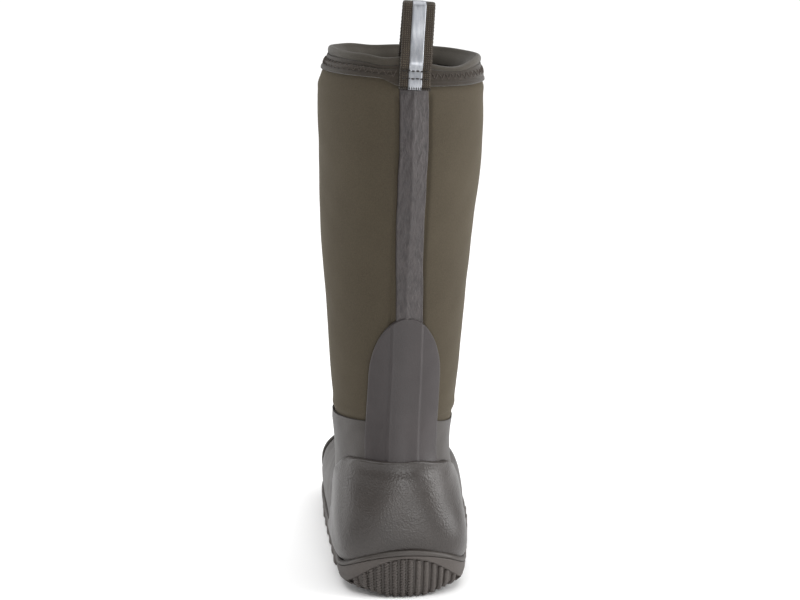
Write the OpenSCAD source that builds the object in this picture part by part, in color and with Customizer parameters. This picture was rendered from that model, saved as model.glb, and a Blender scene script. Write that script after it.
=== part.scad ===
// Insulated rubber-footed hunting boot, for the right foot.
// Millimetres. +Z is up, +Y points to the toe and +X to the wearer's right.
// The origin is on the ground under the middle of the heel.
//
// The upper is one swept surface, the outer face of the neoprene. Rings run down the shaft,
// fan round the ankle and go on to the toe. Every layer of the boot is a skin between two
// offsets from that surface, so that layers meet face to face.

/* [Layers] */
// Thickness of the neoprene foam
neoprene_t = 5; // [4:0.5:5]
// Thickness of the fleece lining
lining_t = 3; // [2:0.5:3]
// Thickness of the rubber foot shell
shell_t = 2.1; // [1.8:0.1:2.1]
// Thickness of the rubber overlays on the heel and toe
overlay_t = 0.9; // [0.8:0.1:1.2]

/* [Backstay and Achilles patch] */
// Width of the rubber strip over the back seam
strip_w = 21.5; // [16:0.5:26]
// Width of the arch-topped patch over the Achilles tendon
patch_w = 52; // [44:1:60]
// Height of the top of the patch's arch above the ground
patch_top_z = 214; // [200:1:225]
// Height of the arch from its shoulders to its top
arch_h = 46; // [30:1:50]

/* [Pull loop] */
// Width of the loop's webbing
webbing_w = 23; // [20:0.5:26]
// Thickness of the webbing
webbing_t = 1.6; // [1.2:0.1:1.8]
// Height of the top of the loop above the ground
loop_top_z = 446; // [436:1:450]
// Width of the reflective tape sewn to the webbing
reflective_w = 9.6; // [8:0.2:12]
// Height of the lower end of the webbing outside the shaft
webbing_end_z = 383; // [380:1:386]

/* [Sole] */
// Depth of the lugs under the heel and forefoot
lug_depth = 5; // [4:0.5:6]
// How far the outer side's lugs stand out of the sole's wall
lug_proud = 3.6; // [2:0.1:4]
// Rise of the sole at the tip of the toe
toe_spring = 12; // [8:1:15]

/* [Collar] */
// Number of zigzag stitches round the collar band
collar_stitches = 64; // [48:2:96]

/* [Hidden] */

rubber = "#5a5451";
tread_rubber = "#4c4744";
olive = "#5d5546";
collar_brown = "#453f3b";
webbing_brown = "#3c352e";
silver = "#b4b7be";
fleece = "#3b342f";
foam = "#3f3d3b";

// One row per ring: back y and z, front y and z, inner (big-toe) side x, outer side x,
// where the widest point lies from back to front, roundness of the back half and of the front half.
rings = [
    [-39.5, 402,   80, 402,  -54.6, 59.8, 0.50, 2.1, 2.1],
    [-43,   384,   84, 384,  -58.8, 63.6, 0.50, 2.1, 2.1],
    [-44,   350,   85, 350,  -59.6, 64.0, 0.50, 2.1, 2.1],
    [-44,   315,   84, 315,  -59.4, 61.6, 0.50, 2.1, 2.1],
    [-42,   278,   81, 278,  -58.2, 57.6, 0.50, 2.1, 2.1],
    [-38.5, 240,   77, 240,  -56.2, 53.8, 0.50, 2.1, 2.1],
    [-35.5, 202,   73, 202,  -53.8, 50.4, 0.50, 2.1, 2.1],
    [-33.3, 167,   71, 165,  -51.4, 46.6, 0.50, 2.1, 2.1],
    [-33.0, 138,   74, 132,  -49.2, 42.0, 0.50, 2.1, 2.1],
    [-35.5, 113,   85, 117,  -47.2, 38.2, 0.47, 2.1, 2.1],
    [-40.0,  87,   96, 110,  -46.2, 37.6, 0.42, 2.3, 2.1],
    [-43.5,  60,  107, 105,  -46.4, 40.8, 0.34, 2.8, 2.1],
    [-41.5,  36,  118,  99,  -46.8, 44.8, 0.29, 3.8, 2.1],
    [-25.0,  21,  130,  93,  -47.4, 47.4, 0.29, 4.4, 2.1],
    [ 10,  17.5,  143,  88,  -48.2, 51.4, 0.31, 4.4, 2.1],
    [ 50,  16.5,  157,  82,  -48.2, 57.0, 0.34, 4.2, 2.1],
    [ 94,  14.5,  173,  76,  -47.4, 62.0, 0.37, 4.0, 2.2],
    [135,    13,  191,  70,  -46.6, 64.6, 0.38, 3.8, 2.2],
    [172,    14,  208,  64,  -45.4, 61.8, 0.38, 3.6, 2.3],
    [205,  18.5,  224,  57.5, -41.6, 52.0, 0.40, 3.3, 2.4],
    [230,    25,  239,  51,  -32.5, 39.0, 0.44, 2.8, 2.4],
    [246,  31.5,  248.5, 43, -17.0, 22.0, 0.48, 2.4, 2.3],
    [252.5, 37,   252.5, 37,   2.5,  2.5, 0.50, 2.2, 2.2],
];
toe_end = len(rings) - 1;
// Sideways slope of the topline: the outer side sits lower by twice this.
topline_dip = 3;
// The back seam sits this many degrees round from the back of each ring.
seam_turn = 3.2;

// One row per pair of points of the sole's outline at the ground: y, inner x, outer x.
sole_pairs = [
    [-48.8,   0,    0],
    [-40.5, -33,   33],
    [-19,   -46,   46],
    [  6,   -47.4, 48],
    [ 36,   -47.6, 52.6],
    [ 70,   -47.6, 58],
    [105,   -47.8, 63],
    [138,   -47.6, 66.2],
    [172,   -47,   65.2],
    [204,   -43.2, 56],
    [232,   -33,   40.5],
    [250,   -19,   24],
    [258,     2.5,  2.5],
];
sole_end = len(sole_pairs) - 1;
sole_step = 0.5;
shell_columns = 36;
glue = 0.08;

ankle_top = 8.18;
shell_top = 9.27;
toe_last = toe_end - 0.09;

shell_out = glue + shell_t;
overlay_in = shell_out + 1.1;
stiffener_t = 1;
overlay_out = overlay_in + stiffener_t + glue + overlay_t;
lining_in = neoprene_t + glue + lining_t;

// The webbing leans to the outer side by this many degrees about its lower end.
webbing_lean = 3.5;
loop_pivot = [5.6, -36.2, 413];
loop_half_gap = 4.6;

// Catmull-Rom value at f, from 0 to 1, between b and c.
function curve(a, b, c, d, f) =
    let(bend = 2 * a - 5 * b + 4 * c - d, twist = 3 * b - a - 3 * c + d)
    0.5 * (2 * b + (c - a) * f + bend * f * f + twist * f * f * f);

// A row past either end of the rings: level at the top, and mirrored at the tip of the toe.
function ring_row(i) =
    i < 0 ? 2 * rings[0] - rings[1] :
    i <= toe_end ? rings[i] :
    let(r = rings[2 * toe_end - i]) [r[2], r[3], r[0], r[1], r[5], r[4], 1 - r[6], r[7], r[8]];

function ring_at(t) =
    let(i = min(floor(t), toe_end - 1), f = t - i)
    curve(ring_row(i - 1), ring_row(i), ring_row(i + 1), ring_row(i + 2), f);

// A point of the neoprene's outer face: t runs along the boot and a round it, 0 at the back
// or the bottom and 90 on the outer side.
function face_point(t, a) =
    let(
        r = ring_at(t),
        round = cos(a) > 0 ? r[7] : r[8],
        reach = pow(pow(abs(cos(a)), round) + pow(abs(sin(a)), round), -1 / round),
        u = -reach * cos(a),
        across = reach * sin(a),
        along = r[6] + u * (u < 0 ? r[6] : 1 - r[6]),
        dip = topline_dip * across * max(0, 1 - t / 2)
    )
    [
        (r[4] + r[5]) / 2 + across * (r[5] - r[4]) / 2,
        r[0] + (r[2] - r[0]) * along,
        r[1] + (r[3] - r[1]) * along - dip,
    ];

function face_normal(t, a) =
    let(
        along = face_point(t + 0.03, a) - face_point(t - 0.03, a),
        round = face_point(t, a + 1) - face_point(t, a - 1),
        n = cross(along, round)
    )
    n / norm(n);

function skin_point(t, a, offset) = face_point(t, a) + offset * face_normal(t, a);

// Half of an angle round the ring that spans a width of w on the back.
function half_angle(t, w) = let(r = ring_at(t)) asin(min(1, w / (r[5] - r[4])));

// Two triangles for each cell of a grid, always cut along the same diagonal, so that the
// faces of two layers over the same grid stay parallel.
function cells(rows, cols, wrap, base, flip) = [
    for (j = [0:rows - 2], i = [0:cols - (wrap ? 1 : 2)], half = [0, 1])
        let(
            a = base + j * cols + i,
            b = base + j * cols + (i + 1) % cols,
            face = half == 0 ? [a, b, b + cols] : [a, b + cols, a + cols]
        )
        flip ? [face[2], face[1], face[0]] : face
];

function middle(row) = [for (p = row) 1] * row / len(row);

// A closed solid between two grids of points with the same rows and columns.
module between_grids(inner, outer, wrap = false, tip = false) {
    rows = len(inner);
    cols = len(inner[0]);
    base = rows * cols;
    last = (rows - 1) * cols;
    edge = cols - (wrap ? 1 : 2);
    polyhedron(
        points = concat(
            [for (r = outer, p = r) p],
            [for (r = inner, p = r) p],
            tip ? [middle(outer[rows - 1]), middle(inner[rows - 1])] : []
        ),
        faces = concat(
            cells(rows, cols, wrap, 0, false),
            cells(rows, cols, wrap, base, true),
            [for (i = [0:edge]) let(k = (i + 1) % cols) [k, i, base + i, base + k]],
            tip ? [for (i = [0:edge]) [last + i, last + (i + 1) % cols, 2 * base]] : [],
            tip ? [for (i = [0:edge])
                [base + last + (i + 1) % cols, base + last + i, 2 * base + 1]] : [],
            tip ? [] : [for (i = [0:edge]) let(k = (i + 1) % cols)
                [last + i, last + k, base + last + k, base + last + i]],
            wrap ? [] : [for (j = [0:rows - 2]) let(p = j * cols)
                [p, p + cols, base + p + cols, base + p]],
            wrap ? [] : [for (j = [0:rows - 2]) let(p = j * cols + cols - 1)
                [p + cols, p, base + p, base + p + cols]]
        )
    );
}

// A layer that goes all the way round the boot, from ring to ring.
module sleeve(ring_list, from, to, tip = false) {
    turns = [for (i = [0:shell_columns - 1]) i * 360 / shell_columns];
    between_grids(
        [for (t = ring_list) [for (a = turns) skin_point(t, a, from)]],
        [for (t = ring_list) [for (a = turns) skin_point(t, a, to)]],
        wrap = true, tip = tip
    );
}

// A piece of a layer over a grid of places, each [t, angle]. A pocket is a hollow under
// the piece, inside its edges.
module patch(grid, from, to, pocket = 0) {
    rows = len(grid) - 1;
    columns = len(grid[0]) - 1;
    between_grids(
        [for (j = [0:rows]) [for (i = [0:columns])
            let(inside = j > 0 && j < rows && i > 0 && i < columns, p = grid[j][i])
            skin_point(p[0], p[1], inside ? from + pocket : from)]],
        [for (row = grid) [for (p = row) skin_point(p[0], p[1], to)]]
    );
}

// A grid with the same number of columns in each row, from rows of [t, first angle, last angle].
function fan(row_list, columns) = [
    for (r = row_list) [for (i = [0:columns]) [r[0], r[1] + (r[2] - r[1]) * i / columns]]
];

// The ring whose back point lies at a height, for heights above the heel.
function ring_at_height(z, low = 0, high = 11) =
    let(mid = (low + high) / 2)
    high - low < 0.002 ? mid :
    ring_at(mid)[1] > z ? ring_at_height(z, mid, high) : ring_at_height(z, low, mid);

shaft_rings = [0, 0.15, 0.9, 2, 3, 4, 5, 5.75, 6.5, 7.25, ankle_top, 8.7, 9.2];
foot_rings = [
    shell_top, 9.65, 10.1, 10.6, 11.1, 11.6, 12.05, 12.5, 12.95, 13.4, 14.1,
    15, 16, 17, 18, 18.9, 19.7, 20.4, 21, 21.5, toe_last,
];

module shaft_neoprene() { color(olive) sleeve(shaft_rings, -neoprene_t, 0); }
module foot_neoprene() { color(foam) sleeve(foot_rings, -neoprene_t, 0, tip = true); }
module shaft_lining() { color(fleece) sleeve(shaft_rings, -lining_in, -neoprene_t - glue); }
module foot_lining() { color(fleece) sleeve(foot_rings, -lining_in, -neoprene_t - glue, tip = true); }
module foot_shell() { color(rubber) sleeve(foot_rings, glue, shell_out, tip = true); }
module ankle_band() { color(rubber) sleeve([ankle_top, 8.7, 9.2], glue, shell_out); }

// An overlay with a hollow under it, and the stiffener that fills the hollow.
module overlay(grid) {
    patch(grid, overlay_in, overlay_out, stiffener_t + glue);
}
module stiffener(grid) {
    inner = [for (j = [1:len(grid) - 2]) [for (i = [1:len(grid[j]) - 2]) grid[j][i]]];
    patch(inner, overlay_in + 0.3, overlay_in + stiffener_t);
}

// Heel overlay: its top edge is level round the back and then falls forward, and its lower
// edge runs on along the sole as far as the waist.
function heel_top(a) = shell_top + 2 * pow(min(1, max(0, (abs(a) - 48) / 52)), 1.6);
function heel_low(a) = lookup(abs(a), [
    [0, 12.95], [48, 12.95], [55, 13.7], [62, 14.1], [70, 14], [80, 13.6], [90, 13.2], [97, 12.9],
]);
heel_columns = [-97, for (a = [-90:10:90]) a, 97];
heel_grid = [for (v = [0:0.125:1]) [for (a = heel_columns)
    [heel_top(a) + (heel_low(a) - heel_top(a)) * v, a]]];
module heel_shell() { color(rubber) overlay(heel_grid); }
module heel_counter() { color(foam) stiffener(heel_grid); }

// Toe overlay: over the top and sides of the toe, and open below.
toe_grid = fan([
    [18.9, 73, 287], [19.7, 65, 295], [20.4, 55, 305], [21, 43, 317],
    [21.5, 28, 332], [toe_last, 10, 350],
], 20);
module toe_cap() { color(rubber) overlay(toe_grid); }
module toe_puff() { color(foam) stiffener(toe_grid); }

// Width of the Achilles patch at a height: an arch at the top, then straight.
function patch_width(z) =
    let(up = (z - (patch_top_z - arch_h)) / arch_h)
    up < 0 ? patch_w : patch_w * sqrt(max(0, 1 - up * up));

arch_heights = [for (a = [8, 16, 27, 42, 62, 90]) patch_top_z - arch_h * (1 - cos(a))];
band_z = ring_at(ankle_top)[1];

// A row of a patch that is centred on the back seam, at a height.
function seam_row(z, w) =
    let(t = ring_at_height(z), h = half_angle(t, w))
    [t, seam_turn - h, seam_turn + h];

// The patch runs down to the heel shell. Its underside is let in over the strip and the band.
module achilles_patch() {
    heights = concat(arch_heights, [patch_top_z - arch_h - 16, band_z + 1, 122, ring_at(9.14)[1]]);
    over_strip = [230, 214, 195, 168, 150, band_z - 6];
    over_band = [band_z + 1.5, 122, 104];
    color(rubber) difference() {
        patch(fan([for (z = heights) seam_row(z, patch_width(z))], 8), 0.4, 3.5);
        patch(fan([for (z = over_strip) seam_row(z, strip_w + 2)], 4), -1, 1.75);
        patch(fan([for (z = over_band) seam_row(z, patch_w + 16)], 10), -1, shell_out + 0.5);
    }
}

// The strip runs on under the patch, down to the ankle band.
module backstay_strip() {
    heights = concat(
        [webbing_end_z - 0.6, 365, 350, 332, 315, 296, 278, 258, 240, 224],
        arch_heights, [patch_top_z - arch_h - 16, band_z + 2.5]
    );
    color(rubber) patch(fan([for (z = heights) seam_row(z, strip_w)], 4), 0.45, 1.5);
}

module collar_band() { color(collar_brown) sleeve([0.15, 0.9], glue, 1.3); }

// The folded tape that covers the top edge: [offset from the face, height above the edge].
binding_profile = [
    [0.55, -1.7], [1.7, -1.7], [2.1, 0.4], [1.2, 2.7], [-1.2, 4.1], [-4.1, 4.6], [-7, 4.1],
    [-9.3, 2.7], [-10.1, 0.4], [-9.8, -9], [-8.4, -9], [-8.3, 0.3], [0.2, 0.3],
];
module topline_binding() {
    cols = shell_columns;
    count = len(binding_profile);
    edge = [for (i = [0:cols - 1]) face_point(0, i * 360 / cols)];
    out = [for (i = [0:cols - 1])
        let(n = face_normal(0, i * 360 / cols))
        [n.x, n.y] / norm([n.x, n.y])];
    color(collar_brown) polyhedron(
        points = [for (i = [0:cols - 1], p = binding_profile)
            edge[i] + [out[i].x * p[0], out[i].y * p[0], p[1]]],
        faces = [for (i = [0:cols - 1], k = [0:count - 1])
            let(j = (i + 1) % cols, m = (k + 1) % count)
            [i * count + k, i * count + m, j * count + m, j * count + k]]
    );
}

// A short straight thread of the given radius between two points.
module thread(a, b, r, sides = 6) {
    d = b - a;
    translate(a) rotate([0, acos(d.z / norm(d)), atan2(d.y, d.x)])
        cylinder(r = r, h = norm(d), $fn = sides);
}

module collar_stitching() {
    step = 360 / collar_stitches;
    color(webbing_brown) for (i = [0:collar_stitches - 1]) {
        a = seam_turn + 13 + i * (360 - 26) / collar_stitches;
        up = i % 2 == 0;
        thread(
            skin_point(up ? 0.28 : 0.74, a, 1.8),
            skin_point(up ? 0.74 : 0.28, a + step * 0.6, 1.8),
            0.35, 5
        );
    }
}

// Height of the bare sole under the boot: flat at the heel and ball, hollow at the waist,
// and rising to the toe.
function spring(y) = y < 175 ? 0 : toe_spring * pow((y - 175) / 82, 2);
function waist(y) = y > 42 && y < 92 ? 2 * sin(180 * (y - 42) / 50) : 0;
function sole_bottom(y) = lug_depth + waist(y) + spring(y);
function sole_floor(y) = y < 40 ? 10 : y < 110 ? 10 - 1.4 * (y - 40) / 70 : 8.6 + spring(y);

// A row past either end of the outline, with its two sides swapped.
function sole_row(i) =
    i < 0 ? let(r = sole_pairs[-i]) [r[0], r[2], r[1]] :
    i <= sole_end ? sole_pairs[i] :
    let(r = sole_pairs[2 * sole_end - i]) [r[0], r[2], r[1]];

function sole_at(s) =
    let(i = min(max(floor(s), 0), sole_end - 1), f = s - i)
    curve(sole_row(i - 1), sole_row(i), sole_row(i + 1), sole_row(i + 2), f);

// A point of the outline moved out by a distance. s runs from 0 at the heel to sole_end at
// the toe on the outer side, and back down the inner side to 2 * sole_end.
function outline(s) =
    let(outer = s <= sole_end, p = sole_at(outer ? s : 2 * sole_end - s))
    [outer ? p[2] : p[1], p[0]];
function outline_at(s, out) =
    let(
        turn = 2 * sole_end,
        d = outline((s + 0.05) % turn) - outline((s - 0.05 + turn) % turn)
    )
    outline(s % turn) + out * [d.y, -d.x] / norm(d);

// How far along the outline a place is from the heel, as if on the outer side.
function from_heel(s) = s <= sole_end ? s : 2 * sole_end - s;

// Top of the sole's side wall: a tab at the back of the heel, low at the sides, higher at the toe.
function wall_top(s) =
    let(h = from_heel(s))
    16.5 + (h < 2.4 ? 8.5 * (1 + cos(75 * h)) : spring(outline(s)[1]) * 0.9);

module outsole_body() {
    count = 2 * sole_end / sole_step;
    // Each level is [distance out, share of the height, from the bottom or from the floor].
    levels = [
        [-2.5, 0, "bottom"], [0.2, 0.16, "bottom"], [1.6, 0.55, "bottom"], [2.2, 1, "bottom"],
        [-0.6, 1, "floor"], [-1.6, 0, "floor"],
    ];
    grids = [for (l = levels) [for (k = [0:count - 1])
        let(
            s = k * sole_step,
            p = outline_at(s, l[0]),
            low = l[2] == "bottom" ? sole_bottom(p.y) : sole_floor(p.y)
        )
        [p.x, p.y, low + (wall_top(s) - low) * l[1]]]];
    half = count / 2;
    top = (len(grids) - 1) * count;
    polyhedron(
        points = [for (g = grids, p = g) p],
        faces = concat(
            cells(len(grids), count, true, 0, true),
            [for (k = [0:half - 1]) strip_face(k, count, 0, true)],
            [for (k = [0:half - 1]) strip_face(k, count, top, false)]
        )
    );
}

// One strip across a sole, between the same places on its two sides.
function strip_face(k, count, base, down) =
    let(
        a = base + k, b = base + k + 1,
        c = base + (count - k - 1) % count, d = base + (count - k) % count,
        f = k == 0 ? [a, b, c] : k == count / 2 - 1 ? [a, b, d] : [a, b, c, d]
    )
    down ? f : [for (i = [len(f) - 1:-1:0]) f[i]];

// A lug on the sole's edge between two places of the outline. Its foot may be narrower,
// by a scale about the middle of the heel.
module edge_lug(s1, s2, proud, reach, height, foot = 1) {
    mid = (s1 + s2) / 2;
    shape = [
        outline_at(s1, proud - 0.8), outline_at(s1 * 0.65 + s2 * 0.35, proud),
        outline_at(s1 * 0.35 + s2 * 0.65, proud), outline_at(s2, proud - 0.8),
        outline_at(s2, -reach), outline_at(s1, -reach * 0.8),
    ];
    translate([0, 0, spring(outline(mid)[1])])
        linear_extrude(height = height, scale = 1 / foot) scale(foot) polygon(shape);
}

// A rib up the back of the heel, at a distance from the middle.
module heel_rib(x) {
    y = -46.5 * sqrt(1 - pow(x / 52, 2));
    top = 31.5 - 18 * pow(x / 38, 2);
    thread([x * 0.94, y + 3.3, 1.7], [x, y - 2.4, top], 2, 8);
}

// A chevron lug in the middle of the sole.
module chevron(y, x, w, l) {
    translate([x, y, spring(y)]) linear_extrude(height = lug_depth + 0.6) polygon([
        [-w / 2, -l / 2], [0, -l / 2 + l * 0.45], [w / 2, -l / 2],
        [w / 2, l / 2 - l * 0.45], [0, l / 2], [-w / 2, l / 2 - l * 0.45],
    ]);
}

module outsole() {
    color(tread_rubber) union() {
        outsole_body();
        for (s = [1.35, 2.15, 2.95]) {
            edge_lug(s, s + 0.5, 0.6, 12, lug_depth + 3, 0.82);
            edge_lug(2 * sole_end - s - 0.5, 2 * sole_end - s, 0.6, 12, lug_depth + 3, 0.82);
        }
        for (s = [3.87:0.7:10.9]) {
            edge_lug(s, s + 0.44, lug_proud, s < 5 ? 8 : 15, lug_depth + 5);
            edge_lug(
                2 * sole_end - s - 0.44, 2 * sole_end - s,
                lug_proud - 2.3, s < 5 ? 8 : 15, lug_depth + 5
            );
        }
        for (i = [-6:6]) heel_rib(6 * i);
        translate([0, -28, 0]) linear_extrude(height = lug_depth + 0.6)
            polygon([[-24, 0], [-19, -11], [0, -15.4], [19, -11], [24, 0], [10, 5], [-10, 5]]);
        for (y = [-13, 3, 19, 35]) chevron(y, 1, 44, 13);
        for (y = [104, 122, 140, 158, 176, 194]) chevron(y, 11, 58, 13);
        for (y = [214, 231]) chevron(y, 5, 36, 12);
    }
}

// Rubber rim that seals the joint between the sole's wall and the foot shell.
module foxing_rim() {
    count = 2 * sole_end / sole_step;
    profile = [[0.6, 0.1], [2.7, 0.1], [2.5, 3.2], [1.9, 4.4], [1.3, 4.2]];
    n = len(profile);
    color(rubber) polyhedron(
        points = [for (k = [0:count - 1], c = profile)
            let(p = outline_at(k * sole_step, c[0])) [p.x, p.y, wall_top(k * sole_step) + c[1]]],
        faces = [for (k = [0:count - 1], c = [0:n - 1])
            let(j = (k + 1) % count, m = (c + 1) % n)
            [k * n + c, k * n + m, j * n + m, j * n + c]]
    );
}

// Foam between the sole's floor and the underside of the foot, with a groove for the shank.
// Each row is a ring and an offset: it lies under the heel shell first, then under the foot shell.
midsole_rows = concat(
    [for (t = [12.65, 13.05]) [t, overlay_out + 0.8]],
    [for (t = [13.4, 14.1, 15, 16, 17, 18, 18.9, 19.7]) [t, shell_out + glue]]
);
module midsole() {
    top = [for (r = midsole_rows) [for (a = [-30:10:30]) skin_point(r[0], a, r[1])]];
    color(foam) difference() {
        between_grids(top, [for (r = top) [for (p = r) [p.x, p.y, sole_floor(p.y) + 0.5]]]);
        translate([-9, -12, 8]) cube([19, 80, 3.8]);
    }
}

module shank() {
    color("silver") translate([-8, -10, 10.4]) cube([17, 76, 1.2]);
}

// The sheet and the footbed lie one on the other inside the lining.
underlay_t = 2;
underlay_rows = [12.5, 12.95, 13.4, 14.1, 15, 16, 17, 18, 18.9, 19.7, 20.4];
module thermal_underlay() {
    low = -lining_in - glue;
    color(foam) patch(fan([for (t = underlay_rows) [t, -40, 40]], 8), low - underlay_t, low);
}

footbed_rows = [12.85, 13.3, 14, 15, 16, 17, 18, 19, 19.6, 20.1];
footbed_low = -lining_in - underlay_t - 0.8;
footbed_t = 4.2;
module footbed() {
    grid = fan([for (t = footbed_rows) [t, -34, 34]], 8);
    color(foam) patch(grid, footbed_low - footbed_t, footbed_low);
}
module footbed_cover() {
    grid = fan([for (t = footbed_rows) [t, -33, 33]], 8);
    low = footbed_low - footbed_t - glue;
    color(fleece) patch(grid, low - 0.9, low);
}

// The shaft's back wall under the webbing, as a point [x, y] at a height.
function wall_at(z, offset) = let(p = skin_point(ring_at_height(z), seam_turn, offset)) [p.y, p.z];

// A ribbon of webbing seen from the side, [y, z] along its middle, given a thickness.
function ribbon(path, t) =
    let(
        last = len(path) - 1,
        side = [for (i = [0:last])
            let(d = path[min(i + 1, last)] - path[max(i - 1, 0)]) [-d.y, d.x] / norm(d)]
    )
    concat(
        [for (i = [0:last]) path[i] + side[i] * t / 2],
        [for (i = [last:-1:0]) path[i] - side[i] * t / 2]
    );

module lean() {
    low = [loop_pivot.x, 0, webbing_end_z];
    translate(low) rotate([0, webbing_lean, 0]) translate(-low) children();
}

// Extrudes a side view along X, as wide as the webbing or the tape, and leans it.
module across(w) {
    lean() translate([loop_pivot.x + w / 2, 0, 0]) rotate([90, 0, -90]) mirror([1, 0, 0])
        linear_extrude(height = w) children();
}

// The outer end lies on the collar, and its top stands clear of the binding.
outer_end_path = concat(
    [for (z = [webbing_end_z, 390, 396]) wall_at(z, 2.8 + webbing_t / 2)],
    [[loop_pivot.y - 9, 404]]
);
module webbing_outer_end() {
    color(webbing_brown) across(webbing_w) polygon(ribbon(outer_end_path, webbing_t));
}
module reflective_tape_end() {
    path = [for (p = outer_end_path) p - [webbing_t / 2 + 0.35, 0]];
    color(silver) across(reflective_w) polygon(ribbon(path, 0.4));
}
module webbing_inner_end() {
    edge = wall_at(402, -lining_in);
    color(webbing_brown) across(webbing_w)
        polygon(ribbon([[edge[0] + 5.6, 388], [edge[0] + 5.4, 396], [edge[0] + 5.2, 404]], webbing_t));
}
module webbing_stitching() {
    color("black") lean() for (z = [390.6, 396], i = [0:5]) {
        p = wall_at(z, 2.7 + webbing_t + 1.5);
        x = loop_pivot.x - webbing_w / 2 + 1.6 + i * (webbing_w - 3.2) / 6;
        thread([x + 0.4, p[0], z], [x + 2.8, p[0], z], 0.4);
    }
}

// The free loop, seen from the side: two legs that close into a fold at the top.
function loop_path(out) =
    let(top = loop_top_z - webbing_t / 2 - 3.2 + out, y = loop_pivot.y)
    concat(
        [[y - loop_half_gap - out, loop_pivot.z + 1.2], [y - 5.4 - out, 424], [y - 4.6 - out, 434]],
        [for (a = [180:-30:0]) [y + (3.2 + out) * cos(a), top + (3.2 + out) * sin(a) - out]],
        [[y + 4.6 + out, 434], [y + 5.4 + out, 424], [y + loop_half_gap + out, loop_pivot.z + 1.2]]
    );
module pull_loop() { color(webbing_brown) across(webbing_w) polygon(ribbon(loop_path(0), webbing_t)); }
module reflective_tape() {
    path = loop_path(webbing_t / 2 + 0.35);
    color(silver) across(reflective_w) polygon(ribbon([for (i = [0:6]) path[i]], 0.4));
}

outsole();
midsole();
shank();
foxing_rim();
foot_shell();
heel_shell();
heel_counter();
toe_cap();
toe_puff();
ankle_band();
achilles_patch();
backstay_strip();
shaft_neoprene();
foot_neoprene();
shaft_lining();
foot_lining();
thermal_underlay();
collar_band();
topline_binding();
collar_stitching();
webbing_outer_end();
webbing_inner_end();
reflective_tape_end();
webbing_stitching();
pull_loop();
reflective_tape();
footbed();
footbed_cover();
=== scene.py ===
"""The looks of an insulated rubber-footed hunting boot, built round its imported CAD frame.

The upper is one swept surface, as in the CAD: rings go down the shaft, round the ankle and out
to the toe. A place on it is t, along the boot, and an angle a round it, 0 at the back or the
bottom and 90 on the outer side. Every layer is a skin at some offset from that surface.
The surface is worked out in millimetres, and meshes are made in metres.
"""

import math

import bmesh
import bpy
import numpy as np
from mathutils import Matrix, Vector


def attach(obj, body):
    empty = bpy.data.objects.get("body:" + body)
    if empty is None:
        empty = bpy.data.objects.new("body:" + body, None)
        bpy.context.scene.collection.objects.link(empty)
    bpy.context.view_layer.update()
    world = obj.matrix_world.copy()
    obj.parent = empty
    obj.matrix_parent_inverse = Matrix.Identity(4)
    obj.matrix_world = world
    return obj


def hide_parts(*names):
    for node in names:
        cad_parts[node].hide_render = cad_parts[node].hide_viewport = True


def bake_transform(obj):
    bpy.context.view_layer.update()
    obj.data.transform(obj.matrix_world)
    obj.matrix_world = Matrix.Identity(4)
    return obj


MM = 0.001
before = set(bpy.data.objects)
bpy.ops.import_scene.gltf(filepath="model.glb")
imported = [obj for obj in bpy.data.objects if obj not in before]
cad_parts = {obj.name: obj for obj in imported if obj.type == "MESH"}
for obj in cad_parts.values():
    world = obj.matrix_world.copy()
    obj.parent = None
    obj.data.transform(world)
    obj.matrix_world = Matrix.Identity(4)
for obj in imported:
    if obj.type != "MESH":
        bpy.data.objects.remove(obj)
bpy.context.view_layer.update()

# -------------------- the boot's surface

# One row per ring: back y and z, front y and z, inner side x, outer side x, where the widest
# point lies from back to front, roundness of the back half and of the front half.
RINGS = np.array([
    [-39.5, 402, 80, 402, -54.6, 59.8, 0.50, 2.1, 2.1],
    [-43, 384, 84, 384, -58.8, 63.6, 0.50, 2.1, 2.1],
    [-44, 350, 85, 350, -59.6, 64.0, 0.50, 2.1, 2.1],
    [-44, 315, 84, 315, -59.4, 61.6, 0.50, 2.1, 2.1],
    [-42, 278, 81, 278, -58.2, 57.6, 0.50, 2.1, 2.1],
    [-38.5, 240, 77, 240, -56.2, 53.8, 0.50, 2.1, 2.1],
    [-35.5, 202, 73, 202, -53.8, 50.4, 0.50, 2.1, 2.1],
    [-33.3, 167, 71, 165, -51.4, 46.6, 0.50, 2.1, 2.1],
    [-33.0, 138, 74, 132, -49.2, 42.0, 0.50, 2.1, 2.1],
    [-35.5, 113, 85, 117, -47.2, 38.2, 0.47, 2.1, 2.1],
    [-40.0, 87, 96, 110, -46.2, 37.6, 0.42, 2.3, 2.1],
    [-43.5, 60, 107, 105, -46.4, 40.8, 0.34, 2.8, 2.1],
    [-41.5, 36, 118, 99, -46.8, 44.8, 0.29, 3.8, 2.1],
    [-25.0, 21, 130, 93, -47.4, 47.4, 0.29, 4.4, 2.1],
    [10, 17.5, 143, 88, -48.2, 51.4, 0.31, 4.4, 2.1],
    [50, 16.5, 157, 82, -48.2, 57.0, 0.34, 4.2, 2.1],
    [94, 14.5, 173, 76, -47.4, 62.0, 0.37, 4.0, 2.2],
    [135, 13, 191, 70, -46.6, 64.6, 0.38, 3.8, 2.2],
    [172, 14, 208, 64, -45.4, 61.8, 0.38, 3.6, 2.3],
    [205, 18.5, 224, 57.5, -41.6, 52.0, 0.40, 3.3, 2.4],
    [230, 25, 239, 51, -32.5, 39.0, 0.44, 2.8, 2.4],
    [246, 31.5, 248.5, 43, -17.0, 22.0, 0.48, 2.4, 2.3],
    [252.5, 37, 252.5, 37, 2.5, 2.5, 0.50, 2.2, 2.2],
])
TOE_END = len(RINGS) - 1
TOPLINE_DIP = 3
SEAM_TURN = 3.2

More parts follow.
